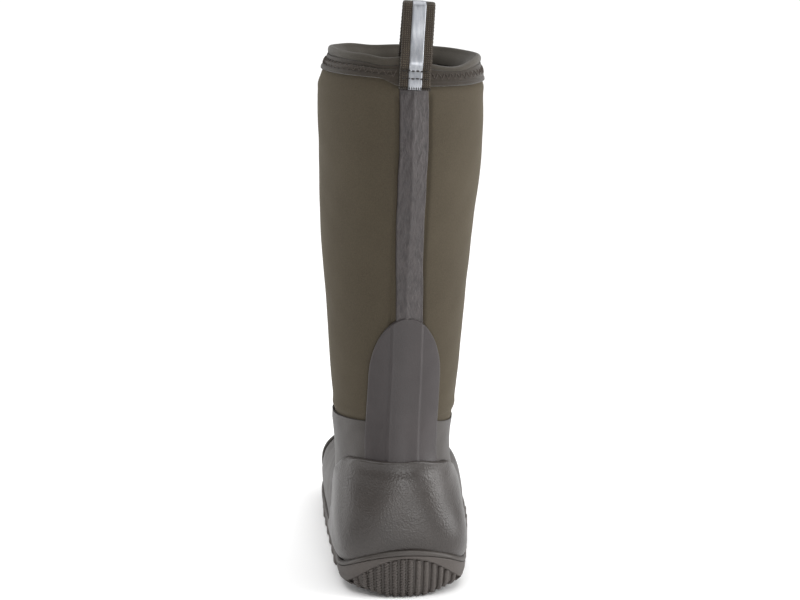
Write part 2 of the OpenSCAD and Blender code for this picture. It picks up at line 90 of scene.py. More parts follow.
# One row per pair of points of the sole's outline: y, inner x, outer x.
SOLE_PAIRS = np.array([
    [-48.8, 0, 0],
    [-40.5, -33, 33],
    [-19, -46, 46],
    [6, -47.4, 48],
    [36, -47.6, 52.6],
    [70, -47.6, 58],
    [105, -47.8, 63],
    [138, -47.6, 66.2],
    [172, -47, 65.2],
    [204, -43.2, 56],
    [232, -33, 40.5],
    [250, -19, 24],
    [258, 2.5, 2.5],
])
SOLE_END = len(SOLE_PAIRS) - 1
TOE_SPRING = 12
BALL = 175
WALL_H = 16.5
LUG_DEPTH = 5

# Offsets from the neoprene's face.
NEOPRENE = 5
LINING = 8.1
SHELL = 2.2
OVERLAY = 5.2

BAND_TOP = 8.18
LEDGE = 9.35
TOE_LAST = TOE_END - 0.06


def catmull_rom(rows, t):
    """Values between rows, where rows[k + 1] is the value at t = k."""
    i = np.clip(np.floor(t).astype(int), 0, len(rows) - 4)
    f = (t - i)[..., None]
    a, b, c, d = rows[i], rows[i + 1], rows[i + 2], rows[i + 3]
    return 0.5 * (2 * b + (c - a) * f + (2 * a - 5 * b + 4 * c - d) * f**2 + (3 * b - a - 3 * c + d) * f**3)


def toe_mirror(r):
    """The ring past the toe that lets the surface close there."""
    return np.array([r[2], r[3], r[0], r[1], r[5], r[4], 1 - r[6], r[7], r[8]])


RING_ROWS = np.vstack([2 * RINGS[0] - RINGS[1], RINGS, toe_mirror(RINGS[-2])])
SOLE_ROWS = np.vstack([SOLE_PAIRS[1][[0, 2, 1]], SOLE_PAIRS, SOLE_PAIRS[-2][[0, 2, 1]]])


def face_point(t, a):
    """Points on the neoprene's face."""
    t, a = np.broadcast_arrays(np.asarray(t, float), np.radians(np.asarray(a, float) % 360))
    r = catmull_rom(RING_ROWS, t)
    cos, sin = np.cos(a), np.sin(a)
    roundness = np.where(cos > 0, r[..., 7], r[..., 8])
    reach = (np.abs(cos) ** roundness + np.abs(sin) ** roundness) ** (-1 / roundness)
    u, across = -reach * cos, reach * sin
    along = r[..., 6] + u * np.where(u < 0, r[..., 6], 1 - r[..., 6])
    dip = TOPLINE_DIP * across * np.maximum(0, 1 - t / 2)
    # The soft collar leans in at the inner side and sags behind the outer side.
    lean = 5.5 * (np.clip(1.4 - t, 0, 1.4) / 1.4) ** 1.3 * np.maximum(-across, 0) ** 2
    low = 5.0 * bump(a, 0.55, 0.45) + 1.8 * bump(a, 3.45, 0.3) + 1.8 * bump(a, 5.95, 0.2)
    sag = low * np.clip(1 - t, 0, 1) ** 1.4
    return np.stack([
        (r[..., 4] + r[..., 5]) / 2 + across * (r[..., 5] - r[..., 4]) / 2 + lean,
        r[..., 0] + (r[..., 2] - r[..., 0]) * along,
        r[..., 1] + (r[..., 3] - r[..., 1]) * along - dip - sag,
    ], -1)


def face_normal(t, a):
    """Outward directions on the neoprene's face."""
    along = face_point(np.asarray(t) + 0.03, a) - face_point(np.asarray(t) - 0.03, a)
    n = np.cross(along, face_point(t, np.asarray(a) + 1) - face_point(t, np.asarray(a) - 1))
    return n / np.linalg.norm(n, axis=-1, keepdims=True)


def skin(t, a, offset):
    """Points at an offset, in mm, outside the neoprene's face."""
    t, a, offset = np.broadcast_arrays(t, a, offset)
    return face_point(t, a) + face_normal(t, a) * offset[..., None]


BACK_T = np.linspace(0, 12, 2401)
BACK_Z = catmull_rom(RING_ROWS, BACK_T)[:, 1]


def ring_at_height(z):
    """The t whose ring has its back at that height."""
    return np.interp(-np.asarray(z, float), -BACK_Z, BACK_T)


def half_angle(t, width):
    """The angle that takes up half of a width, in mm, at the back of the ring."""
    r = catmull_rom(RING_ROWS, np.asarray(t, float))
    return np.degrees(np.arcsin(np.clip(width / (r[..., 5] - r[..., 4]), 0, 1)))


def across_back(t, a):
    """Sideways distance in mm from the back seam."""
    r = catmull_rom(RING_ROWS, np.asarray(t, float))
    turn = (np.asarray(a, float) - SEAM_TURN + 180) % 360 - 180
    return (r[..., 5] - r[..., 4]) / 2 * np.sin(np.radians(np.clip(turn, -90, 90)))


def smooth_step(x, low, high):
    s = np.clip((x - low) / (high - low), 0, 1)
    return s * s * (3 - 2 * s)


def bump(x, centre, width):
    return np.exp(-(((x - centre) / width) ** 2))


# Directions and phases of the waves that ripple() adds up.
WAVES = [
    (1.0, 0.3, 0.7, 0.4), (-0.6, 0.9, 0.5, 2.1), (0.4, -0.8, 1.1, 4.0),
    (-0.9, -0.5, 0.8, 5.3), (0.7, 0.7, -0.6, 1.2),
]


def ripple(points, wavelength):
    """A smooth field from about -1 to 1 that wanders over a wavelength, in mm."""
    total = 0
    for x, y, z, phase in WAVES:
        d = np.array([x, y, z]) / math.sqrt(x * x + y * y + z * z)
        total = total + np.sin(points @ d * 2 * math.pi / wavelength * (1 + 0.13 * phase) + phase * 3)
    return total / 3.2


# -------------------- meshes

def mesh_object(name, points, faces, material, uv=None):
    """A mesh from points in mm. uv holds one pair per face corner."""
    mesh = bpy.data.meshes.new(name)
    mesh.from_pydata((np.asarray(points) * MM).tolist(), [], faces)
    if uv is not None:
        layer = mesh.uv_layers.new(name="along")
        layer.data.foreach_set("uv", np.asarray(uv, np.float32).ravel())
    mesh.polygons.foreach_set("use_smooth", [True] * len(mesh.polygons))
    mesh.materials.append(material)
    mesh.update()
    obj = bpy.data.objects.new(name, mesh)
    bpy.context.scene.collection.objects.link(obj)
    return obj


def closed_mesh(name, points, faces, material, uv=None):
    """A mesh whose faces are all turned outward."""
    obj = mesh_object(name, points, faces, material, uv)
    bm = bmesh.new()
    bm.from_mesh(obj.data)
    bmesh.ops.recalc_face_normals(bm, faces=bm.faces)
    bm.to_mesh(obj.data)
    bm.free()
    return obj


def grid_quads(rows, cols, wrap_rows=False, wrap_cols=False, start=0):
    """Quads of a grid whose rows run down the boot and whose columns run round it."""
    j = np.arange(rows if wrap_rows else rows - 1)[:, None]
    i = np.arange(cols if wrap_cols else cols - 1)[None, :]
    nj, ni = (j + 1) % rows, (i + 1) % cols
    quads = np.stack(np.broadcast_arrays(j * cols + i, nj * cols + i, nj * cols + ni, j * cols + ni), -1)
    return (quads.reshape(-1, 4) + start).tolist()


def sleeve(name, t_profile, offset_profile, material, shape, columns, warp=None):
    """A closed layer all round the boot. The profile goes down the outside, and up the inside."""
    a = np.arange(columns) * 360 / columns
    t = np.asarray(t_profile)[:, None] + 0 * a
    if warp is not None:
        t = warp(t, a[None, :])
    offset = np.asarray(offset_profile)[:, None] + 0 * a
    offset = offset + shape(t, a[None, :] + 0 * t, offset)
    points = skin(t, a[None, :], offset)
    faces = grid_quads(len(t_profile), columns, wrap_rows=True, wrap_cols=True)
    return mesh_object(name, points.reshape(-1, 3), faces, material)


def rounded_profile(t_from, t_to, inner, outer, rows, lip):
    """Profile of a layer with two rounded edges: down the outside, then up the inside."""
    angles = np.linspace(0, math.pi / 2, 5)
    half = (outer - inner) / 2
    middle = (outer + inner) / 2
    top_t = t_from + lip * (1 - np.sin(angles))
    top_o = middle + half * np.sin(angles) ** 0.8
    low_t = t_to - lip * (1 - np.cos(angles))
    low_o = middle + half * np.cos(angles) ** 0.8
    t = np.concatenate([top_t, np.linspace(t_from + lip, t_to - lip, rows)[1:-1], low_t])
    o = np.concatenate([top_o, np.full(rows - 2, outer), low_o])
    back = np.linspace(t_to, t_from, max(rows // 3, 8))
    return np.concatenate([t, back]), np.concatenate([o, np.full(len(back), inner)])


def closed_foot(name, t_values, inner, outer, material, columns, shape=None, warp=None):
    """A layer of the foot that closes over the toe."""
    a = np.arange(columns) * 360 / columns
    angles = np.linspace(0, math.pi / 2, 5)
    half, middle = (outer - inner) / 2, (outer + inner) / 2
    edge_t = t_values[0] + 0.04 * (1 - np.sin(angles))
    edge_o = middle + half * np.sin(angles)
    t = np.concatenate([t_values[::-2][:-1], [t_values[0]], edge_t, t_values[1:]])
    o = np.concatenate([np.full(len(t_values[::-2]), inner), edge_o, np.full(len(t_values) - 1, outer)])
    t, o = t[:, None] + 0 * a, o[:, None] + 0 * a
    if warp is not None:
        t = warp(t, a[None, :])
    if shape is not None:
        o = o + shape(t, a[None, :] + 0 * t, o)
    points = skin(t, a[None, :], o)
    count = points.shape[0] * columns
    faces = grid_quads(points.shape[0], columns, wrap_cols=True)
    tips = [points[0].mean(0), points[-1].mean(0)]
    for i in range(columns):
        n = (i + 1) % columns
        faces.append([i, n, count])
        faces.append([count - columns + n, count - columns + i, count + 1])
    return mesh_object(name, np.vstack([points.reshape(-1, 3), tips]), faces, material)


def pad(name, t, a, inner, thickness, material, radius, shape=None):
    """A piece of a layer over a grid of t and a, with a rounded edge all round."""
    t, a = np.broadcast_arrays(t, a)
    rows, cols = t.shape
    flat = face_point(t, a)
    down = np.zeros((rows, cols))
    down[1:] = np.cumsum(np.linalg.norm(np.diff(flat, axis=0), axis=-1), axis=0)
    round_ = np.zeros((rows, cols))
    round_[:, 1:] = np.cumsum(np.linalg.norm(np.diff(flat, axis=1), axis=-1), axis=1)
    edge = np.minimum(np.minimum(down, down[-1:] - down), np.minimum(round_, round_[:, -1:] - round_))
    rise = np.sqrt(np.clip(1 - (1 - np.clip(edge / radius, 0, 1)) ** 2, 0, 1))
    top = thickness * rise
    if shape is not None:
        top = top + shape(t, a, edge) * rise
    outer = skin(t, a, inner + top).reshape(-1, 3)
    under = skin(t, a, np.full(t.shape, inner)).reshape(-1, 3)
    index = np.arange(rows * cols).reshape(rows, cols)
    border = np.zeros((rows, cols), bool)
    border[[0, -1]] = True
    border[:, [0, -1]] = True
    low = np.where(border, index, -1)
    inside = ~border
    low[inside] = rows * cols + np.arange(inside.sum())
    points = np.vstack([outer, under[inside.ravel()]])
    quads = np.array(grid_quads(rows, cols))
    lower = low.ravel()[quads][:, ::-1]
    return mesh_object(name, points, quads.tolist() + lower.tolist(), material)


def tubes(name, paths, radius, material, sides):
    """Round threads along lists of points in mm, joined into one object."""
    points, faces = [], []
    angles = np.arange(sides) * 2 * math.pi / sides
    for path in paths:
        path = np.asarray(path, float)
        along = np.gradient(path, axis=0)
        along /= np.linalg.norm(along, axis=1, keepdims=True)
        helper = np.where(np.abs(along[:, 2:3]) > 0.9, [[0.0, 1.0, 0.0]], [[0.0, 0.0, 1.0]])
        side = np.cross(along, helper)
        side /= np.linalg.norm(side, axis=1, keepdims=True)
        other = np.cross(along, side)
        taper = np.ones(len(path))
        taper[[0, -1]] = 0.55
        ring = side[:, None] * np.cos(angles)[:, None] + other[:, None] * np.sin(angles)[:, None]
        start = sum(len(p) for p in points)
        points.append((path[:, None] + ring * radius * taper[:, None, None]).reshape(-1, 3))
        for q in grid_quads(len(path), sides, wrap_cols=True, start=start):
            faces.append(q[::-1])
        faces.append([start + i for i in range(sides)][::-1])
        faces.append([start + (len(path) - 1) * sides + i for i in range(sides)])
    return closed_mesh(name, np.vstack(points), faces, material)


# -------------------- materials

class Nodes:
    """A short way to build a material's nodes."""

    def __init__(self, name, roughness, **sockets):
        self.material = bpy.data.materials.new(name)
        self.material.use_nodes = True
        self.tree = self.material.node_tree
        self.shader = self.tree.nodes["Principled BSDF"]
        self.shader.inputs["Roughness"].default_value = roughness
        for key, value in sockets.items():
            self.shader.inputs[key.replace("_", " ")].default_value = value
        self.height = None

    def node(self, kind, **values):
        n = self.tree.nodes.new("ShaderNode" + kind)
        for key, value in values.items():
            if hasattr(n, key):
                setattr(n, key, value)
            else:
                n.inputs[key.replace("_", " ")].default_value = value
        return n

    def link(self, a, b):
        self.tree.links.new(a, b)

    def place(self, scale=(1, 1, 1), coords="Object"):
        mapping = self.node("Mapping")
        mapping.inputs["Scale"].default_value = scale
        self.link(self.node("TexCoord").outputs[coords], mapping.inputs["Vector"])
        return mapping.outputs["Vector"]

    def noise(self, size_mm, detail=2.0, rough=0.5, stretch=(1, 1, 1), distortion=0.0):
        """Noise with features of about that size."""
        scale = 1.0 / (size_mm * MM)
        n = self.node("TexNoise", Scale=scale, Detail=detail, Roughness=rough, Distortion=distortion)
        self.link(self.place(stretch), n.inputs["Vector"])
        return n.outputs["Fac"]

    def cells(self, size_mm, feature="F1"):
        n = self.node("TexVoronoi", feature=feature, Scale=1.0 / (size_mm * MM))
        self.link(self.place(), n.inputs["Vector"])
        return n.outputs["Distance"]

    def bands(self, size_mm, axis, coords="Object", distortion=0.0):
        n = self.node("TexWave", bands_direction=axis, Scale=0.314 / (size_mm * MM), Distortion=distortion)
        self.link(self.place(coords=coords), n.inputs["Vector"])
        return n.outputs["Fac"]

    def product(self, a, b):
        n = self.node("Math", operation="MULTIPLY")
        self.link(a, n.inputs[0])
        self.link(b, n.inputs[1])
        return n.outputs[0]

    def ramp(self, fac, low, high, low_at=0.3, high_at=0.7):
        n = self.node("ValToRGB")
        n.color_ramp.elements[0].position = low_at
        n.color_ramp.elements[1].position = high_at
        n.color_ramp.elements[0].color = (*low, 1)
        n.color_ramp.elements[1].color = (*high, 1)
        self.link(fac, n.inputs["Fac"])
        return n.outputs["Color"]

    def mix(self, a, b, fac):
        n = self.node("Mix", data_type="RGBA")
        n.inputs[0].default_value = fac
        self.link(a, n.inputs[6])
        self.link(b, n.inputs[7])
        return n.outputs[2]

    def colour(self, socket):
        self.link(socket, self.shader.inputs["Base Color"])

    def roughness(self, fac, low, high):
        n = self.node("MapRange")
        n.inputs["To Min"].default_value = low
        n.inputs["To Max"].default_value = high
        self.link(fac, n.inputs["Value"])
        self.link(n.outputs["Result"], self.shader.inputs["Roughness"])

    def bump(self, height, depth_mm, strength):
        n = self.node("Bump", Strength=strength, Distance=depth_mm * MM)
        self.link(height, n.inputs["Height"])
        if self.height is not None:
            self.link(self.height, n.inputs["Normal"])
        self.height = n.outputs["Normal"]
        self.link(self.height, self.shader.inputs["Normal"])


def linear(*rgb):
    """An sRGB colour, 0 to 255, as the renderer's linear numbers."""
    shares = [c / 255 for c in rgb]
    return tuple(c / 12.92 if c <= 0.04045 else ((c + 0.055) / 1.055) ** 2.4 for c in shares)


def olive_neoprene():
    m = Nodes("olive_neoprene", 0.85, Sheen_Weight=0.25, Sheen_Roughness=0.5, Specular_IOR_Level=0.25)
    m.shader.inputs["Sheen Tint"].default_value = (*linear(139, 131, 113), 1)
    broad = m.noise(55, detail=3)
    fine = m.noise(0.9, detail=1)
    base = m.ramp(broad, linear(59, 52, 41), linear(66, 59, 47))
    m.colour(m.mix(base, m.ramp(fine, linear(54, 48, 38), linear(72, 65, 52)), 0.35))
    m.bump(m.noise(0.9, detail=2), 0.12, 0.6)
    m.bump(m.noise(14, detail=2), 0.5, 0.35)
    return m.material


def moulded_rubber(name, dark, light, grain_mm=0.9, depth_mm=0.12, roughness=(0.42, 0.6), strength=0.7):
    m = Nodes(name, 0.5, Specular_IOR_Level=0.45)
    broad = m.noise(38, detail=4, rough=0.6)
    m.colour(m.mix(m.ramp(broad, dark, light), m.ramp(m.noise(1.3), dark, light), 0.3))
    m.roughness(m.noise(17, detail=5, rough=0.65), *roughness)
    m.bump(m.cells(grain_mm, "SMOOTH_F1"), depth_mm, strength)
    m.bump(m.noise(9, detail=3), 0.25, 0.4)
    return m.material


def wrinkled_strip():
    m = Nodes("backstay_rubber", 0.5, Specular_IOR_Level=0.5)
    broad = m.noise(12, detail=4, rough=0.6)
    base = m.ramp(broad, linear(39, 34, 34), linear(53, 47, 47))
    # The crease field is the wrinkles' relief and also half the colour: it darkens the troughs with painted
    # shade and lightens the crests with a painted highlight.
    crease_relief_and_shade = m.noise(2.4, detail=5, rough=0.65, stretch=(1.0, 1.0, 0.4), distortion=1.0)
    m.colour(m.mix(base, m.ramp(crease_relief_and_shade, linear(27, 23, 23), linear(74, 67, 66)), 0.5))
    m.roughness(crease_relief_and_shade, 0.42, 0.62)
    m.bump(crease_relief_and_shade, 1.0, 0.8)
    return m.material


def stretch_knit(name, dark, light):
    m = Nodes(name, 0.9, Sheen_Weight=0.2, Sheen_Roughness=0.5, Specular_IOR_Level=0.2)
    fine = m.noise(0.8, detail=3)
    m.colour(m.mix(m.ramp(m.noise(22, detail=3), dark, light), m.ramp(fine, dark, light), 0.5))
    m.bump(fine, 0.25, 0.8)
    return m.material


def brushed_fleece():
    m = Nodes("fleece", 1.0, Sheen_Weight=0.35, Sheen_Roughness=0.6, Specular_IOR_Level=0.1)
    tufts = m.noise(2.2, detail=5, rough=0.7)
    m.colour(m.ramp(tufts, linear(31, 27, 24), linear(65, 58, 52)))
    m.bump(tufts, 1.2, 0.9)
    return m.material


def woven_webbing():
    m = Nodes("webbing", 0.85, Sheen_Weight=0.15, Sheen_Roughness=0.5, Specular_IOR_Level=0.25)
    across = m.bands(1.5, "X", "UV")
    along = m.bands(1.5, "Y", "UV")
    weave = m.product(across, along)
    threads = m.ramp(weave, linear(35, 29, 25), linear(83, 74, 58), 0.2, 0.85)
    patches = m.ramp(m.noise(6), linear(45, 38, 33), linear(66, 58, 47))
    m.colour(m.mix(threads, patches, 0.4))
    m.bump(weave, 0.5, 0.9)
    return m.material


def reflective_tape():
    m = Nodes("reflective", 0.32, Metallic=0.35, Specular_IOR_Level=0.6)
    beads = m.cells(0.35)
    # Streaks stretched up and down the tape are painted sheen: lighter and darker bands of reflection put
    # into the colour.
    painted_sheen_streaks = m.ramp(m.noise(5, stretch=(3, 3, 0.4)), linear(128, 131, 137), linear(157, 159, 164))
    m.colour(m.mix(painted_sheen_streaks, m.ramp(beads, linear(120, 123, 130), linear(165, 167, 170)), 0.3))
    m.roughness(m.noise(4), 0.26, 0.42)
    m.bump(beads, 0.05, 0.5)
    return m.material


def spun_thread(name, dark, light):
    m = Nodes(name, 0.8, Specular_IOR_Level=0.3)
    twist = m.bands(0.6, "DIAGONAL", distortion=1.0)
    m.colour(m.ramp(twist, dark, light))
    m.bump(twist, 0.1, 0.6)
    return m.material


def foam():
    m = Nodes("foam", 0.9, Specular_IOR_Level=0.2)
    cells = m.cells(0.7)
    m.colour(m.ramp(cells, linear(46, 44, 42), linear(78, 75, 72)))
    m.bump(cells, 0.2, 0.7)
    return m.material


def fibre_board():
    m = Nodes("stiffener_board", 0.85)
    fibres = m.noise(2.5, detail=6, rough=0.7, stretch=(1, 0.3, 1))
    m.colour(m.ramp(fibres, linear(104, 88, 68), linear(138, 121, 98)))
    m.bump(fibres, 0.15, 0.6)
    return m.material


def spring_steel():
    m = Nodes("steel", 0.35, Metallic=1.0)
    brushed = m.noise(1.2, detail=4, stretch=(1, 0.08, 1))
    m.colour(m.ramp(brushed, linear(140, 140, 140), linear(168, 168, 168)))
    m.roughness(brushed, 0.25, 0.45)
    m.bump(brushed, 0.02, 0.5)
    return m.material


OLIVE = olive_neoprene()
RUBBER = moulded_rubber("rubber", linear(49, 45, 42), linear(57, 52, 49))
RIM_RUBBER = moulded_rubber("rim_rubber", linear(54, 50, 47), linear(65, 60, 56))
HEEL_RUBBER = moulded_rubber(
    "pebbled_rubber", linear(47, 43, 41), linear(57, 52, 49),
    grain_mm=1.3, depth_mm=0.25, roughness=(0.3, 0.48), strength=0.9)
PATCH_RUBBER = moulded_rubber("patch_rubber", linear(43, 38, 38), linear(51, 45, 45))
TREAD = moulded_rubber(
    "tread_rubber", linear(62, 57, 54), linear(77, 71, 67),
    grain_mm=0.8, depth_mm=0.15, roughness=(0.55, 0.75))
STRIP = wrinkled_strip()
KNIT = stretch_knit("collar_knit", linear(41, 36, 31), linear(54, 48, 41))
FACING_KNIT = stretch_knit("facing_knit", linear(35, 30, 26), linear(47, 41, 36))
RIM_KNIT = stretch_knit("rim_knit", linear(50, 46, 39), linear(65, 60, 53))
FLEECE = brushed_fleece()
WEBBING = woven_webbing()
SILVER = reflective_tape()
DARK_THREAD = spun_thread("thread", linear(28, 25, 23), linear(52, 47, 44))
COLLAR_THREAD = spun_thread("collar_thread", linear(48, 43, 40), linear(78, 70, 64))
FOAM = foam()
BOARD = fibre_board()
STEEL = spring_steel()

# -------------------- shaft


def shaft_shape(t, a, offset):
    """Soft unevenness of the foam: it bulges over the band and sinks beside the strip."""
    outside = offset > -1
    p = face_point(t, a)
    uneven = (0.7 * ripple(p, 120) + 0.18 * ripple(p, 33)) * smooth_step(t, 0.6, 1.6)
    beside = np.abs(across_back(t, a))
    crease = -1.3 * bump(beside, 11.2, 1.6) * smooth_step(t, 1, 1.3) * smooth_step(-t, -6.2, -5.8)
    swell = 0.9 * bump(t, 7.95, 0.14) - 0.3 * bump(t, 8.17, 0.06) + 0.7 * bump(t, 1.12, 0.13)
    return np.where(outside, uneven + crease + swell, 0)


def build_shaft():
    t, o = rounded_profile(0.14, 9.2, -NEOPRENE, 0, 230, lip=0.03)
    obj = sleeve("shaft", t, o, OLIVE, shaft_shape, columns=300)
    return obj


def build_lining():
    """Fleece below, and a ribbed stretch knit facing inside the collar."""
    def pile(t, a, offset):
        return np.where(offset < -LINING + 1, 0.5 * ripple(face_point(t, a), 16), 0)

    def ribs(t, a, offset):
        return np.where(offset < -LINING, -0.45 * np.cos(np.radians(a) * 110), 0)
    t, o = rounded_profile(0.4, 9.2, -LINING, -NEOPRENE - 0.08, 120, lip=0.03)
    lining = sleeve("lining", t, -LINING - NEOPRENE - 0.08 - o, FLEECE, pile, columns=300)
    t, o = rounded_profile(0.3, 1.7, -LINING - 0.9, -LINING + 0.3, 24, lip=0.05)
    facing = sleeve("collar_facing", t, -2 * LINING - 0.6 - o, FACING_KNIT, ribs, columns=880)
    return lining, facing


def collar_warp(t, a):
    """The collar's lower edge: it laps down behind the loop and sits higher on the inner side."""
    turn = (a + 180) % 360 - 180
    low = 0.95 - 0.26 * smooth_step(-turn, 6, 22) - 0.07 * smooth_step(turn, 40, 90)
    low = low - 0.19 * smooth_step(turn, 120, 180)
    return 0.1 + (t - 0.1) * (low - 0.1) / 0.85


def build_collar_band():
    def shape(t, a, offset):
        turn = (a + 180) % 360 - 180
        inner_side = smooth_step(-turn, 5, 14) * (1 - smooth_step(-turn, 140, 170))
        p = face_point(t, a)
        wander = 0.03 * ripple(p, 70)
        folds = -0.7 * bump(t, 0.27 + wander, 0.035) - 0.55 * bump(t, 0.5 + wander, 0.04)
        roll = 0.5 * bump(t, 0.39 + wander, 0.07)
        hem = 0.35 * bump(t, 0.63, 0.05)
        band = 0.3 * bump(t, 0.86, 0.06) - 0.25 * bump(t, 0.77, 0.03)
        relief = (folds + roll + hem) * inner_side + band * (1 - inner_side)
        return np.where(offset > 0.6, relief + 0.2 * ripple(p, 30), 0)
    t, o = rounded_profile(0.1, 0.95, 0.08, 1.9, 60, lip=0.05)
    return sleeve("collar_band", t, o, KNIT, shape, columns=400, warp=collar_warp)


# Side view of the binding over the top edge, from its outer edge over the lip to its inner edge.
BINDING = np.array([
    [2.2, -4.6], [2.35, -3.4], [2.2, -2.4], [1.9, -1.6], [2.3, -0.6], [2.6, 0.8], [2.5, 2.2], [1.9, 3.5],
    [0.9, 4.3], [-0.3, 4.5], [-1.4, 4.1], [-2.3, 3.1], [-3.4, 1.6], [-5.0, -0.2], [-6.8, -2.4],
    [-8.2, -5.0], [-9.0, -8.0], [-8.2, -8.6], [-6.5, -6.0], [-3.0, -1.6], [0.2, 0.6], [0.6, -4.4],
])


def build_binding():
    """The rolled tape over the top edge, as a closed bead that follows the topline."""
    columns = 400
    a = np.arange(columns) * 360 / columns
    edge = face_point(np.zeros(columns), a)
    out = face_normal(np.zeros(columns), a)[:, :2]
    out /= np.linalg.norm(out, axis=1, keepdims=True)
    ends = np.vstack([BINDING[-1], BINDING, BINDING[:2]])
    profile = catmull_rom(ends, np.linspace(0, len(BINDING), 4 * len(BINDING), endpoint=False))
    wave = 1 + 0.06 * ripple(edge, 26)[:, None]
    slim = 1 - 0.4 * bump(a, 32, 30)[:, None]
    points = np.empty((columns, len(profile), 3))
    points[..., :2] = edge[:, None, :2] + out[:, None] * (profile[:, 0] * wave)[..., None]
    points[..., 2] = edge[:, None, 2] + profile[:, 1] * slim + 0.35 * ripple(edge, 60)[:, None]
    faces = grid_quads(columns, len(profile), wrap_rows=True, wrap_cols=True)
    return closed_mesh("topline_binding", points.reshape(-1, 3), faces, RIM_KNIT)


def build_collar_stitching():
    """A row of zigzag stitches, each leg a short thread that sinks in at its ends."""
    paths = []
    count = 136
    for i in range(count):
        a0 = SEAM_TURN + 12 + i * 336 / count
        t0, t1 = (0.32, 0.7) if i % 2 == 0 else (0.7, 0.32)
        f = np.linspace(0, 1, 7)
        a = a0 + f * 336 / count
        t = collar_warp(t0 + (t1 - t0) * f, a)
        paths.append(skin(t, a, 1.85 + 0.35 * np.sin(f * math.pi)))
    return tubes("collar_stitching", paths, 0.4, COLLAR_THREAD, sides=6)


def build_strip():
    z = np.linspace(384, 200, 200)
    t = ring_at_height(z)[:, None]
    h = half_angle(t, 21.5)
    u = np.linspace(-1, 1, 41)[None, :]
    wander = (0.15 * np.sin(z / 13) + 0.12 * np.sin(z / 5.3 + 1) + 2.1 * smooth_step(-z, -275, -214))[:, None]
    a = SEAM_TURN + h * u * (1 - 0.05 * smooth_step(-z, -340, -230)[:, None]) + wander

    def shape(tt, aa, edge):
        p = face_point(tt, aa)
        stretched = p * np.array([1, 1, 0.7])
        from_ridge = across_back(tt, aa) + 0.8 + 0.5 * np.sin(p[..., 2] / 17)
        ridge = 1.9 * (1 - np.abs(from_ridge / 11) ** 1.15) + 0.35 * bump(from_ridge, 0, 1.4)
        lip = 0.3 * bump(edge, 1.2, 0.8)
        wrinkles = 0.2 * ripple(stretched, 9) + 0.12 * ripple(p * np.array([1, 1, 0.35]), 3.1)
        return wrinkles + lip + np.maximum(ridge, 0)
    return pad("backstay_strip", t, a, -0.6, 2.1, STRIP, radius=1.1, shape=shape)


# The patch, in mm: heights of its top and lower edge, height of its arch, and width.
PATCH_TOP, PATCH_LOW, ARCH, PATCH_W = 214, 97, 46, 52


def build_patch():
    arc = np.linspace(4, 90, 60)
    spring_line = PATCH_TOP - ARCH
    arch = PATCH_TOP - ARCH * (1 - np.cos(np.radians(arc)))
    z = np.concatenate([arch, np.linspace(spring_line, PATCH_LOW, 64)[1:]])
    up = np.clip((z - spring_line) / ARCH, 0, 1)
    t = ring_at_height(z)[:, None]
    h = half_angle(t, (PATCH_W * np.sqrt(1 - up**2))[:, None])
    u = np.linspace(-1, 1, 91)[None, :]

    def shape(tt, aa, edge):
        beside = np.abs(across_back(tt, aa))
        over_strip = 0.8 * (1 - smooth_step(beside, 9.4, 11.8))
        ridges = 0.3 * bump(beside, 10.3, 0.9) + 0.25 * bump(beside, 0, 6)
        sink = -0.5 * smooth_step(tt, 8.3, 9.2)
        return over_strip + ridges + sink + 0.12 * ripple(face_point(tt, aa), 20)
    return pad("achilles_patch", t, SEAM_TURN + h * u, 0.6, 2.4, PATCH_RUBBER, radius=1.6, shape=shape)


# -------------------- foot

def foot_shape(t, a, offset):
    """The band round the ankle is level. Below it the shell is uneven, with creases over the instep."""
    p = face_point(t, a)
    front = smooth_step(-np.cos(np.radians(a)), 0.2, 0.8)
    folds = 0.0
    for centre in (10.2, 11.3, 12.6):
        folds = folds - 0.9 * bump(t + 0.25 * np.cos(2 * np.radians(a)), centre, 0.2)
    uneven = 0.35 * ripple(p, 70) * smooth_step(t, 9.4, 11) + 0.15 * ripple(p, 24)
    thin = -0.8 * (1 - smooth_step(t, BAND_TOP, BAND_TOP + 0.4))
    return np.where(offset > 1, folds * front + uneven + thin, 0)


def build_foot_shell():
    """The shell and the band above it are one moulding. The band's top is lower on the outer side."""
    def warp(t, a):
        lower = 0.2 * smooth_step(a, 15, 70) * (1 - smooth_step(a, 130, 190))
        return t + lower * (1 - smooth_step(t, BAND_TOP, 9.3))
    below_band = np.concatenate([np.linspace(9.4, 14, 84)[1:], np.linspace(14, TOE_LAST, 110)[1:]])
    t = np.concatenate([np.linspace(BAND_TOP, 9.4, 46), below_band])
    return closed_foot("foot_shell", t, 0.08, SHELL, RUBBER, 280, foot_shape, warp)


def heel_top(a):
    """Ring of the heel shell's top edge: nearly level round the back, then falling to the waist."""
    slope = 0.3 * smooth_step(a, 12, 58) + 0.07 * smooth_step(-a, 30, 60)
    return LEDGE + slope + 1.9 * np.clip((np.abs(a) - 50) / 50, 0, 1) ** 1.5


def heel_low(a):
    """Ring of the heel shell's lower edge: under the foot at the sides, then rising to the front."""
    return 12.95 + 1.15 * smooth_step(np.abs(a), 46, 62) - 1.2 * (np.clip(np.abs(a) - 68, 0, 29) / 29) ** 1.8


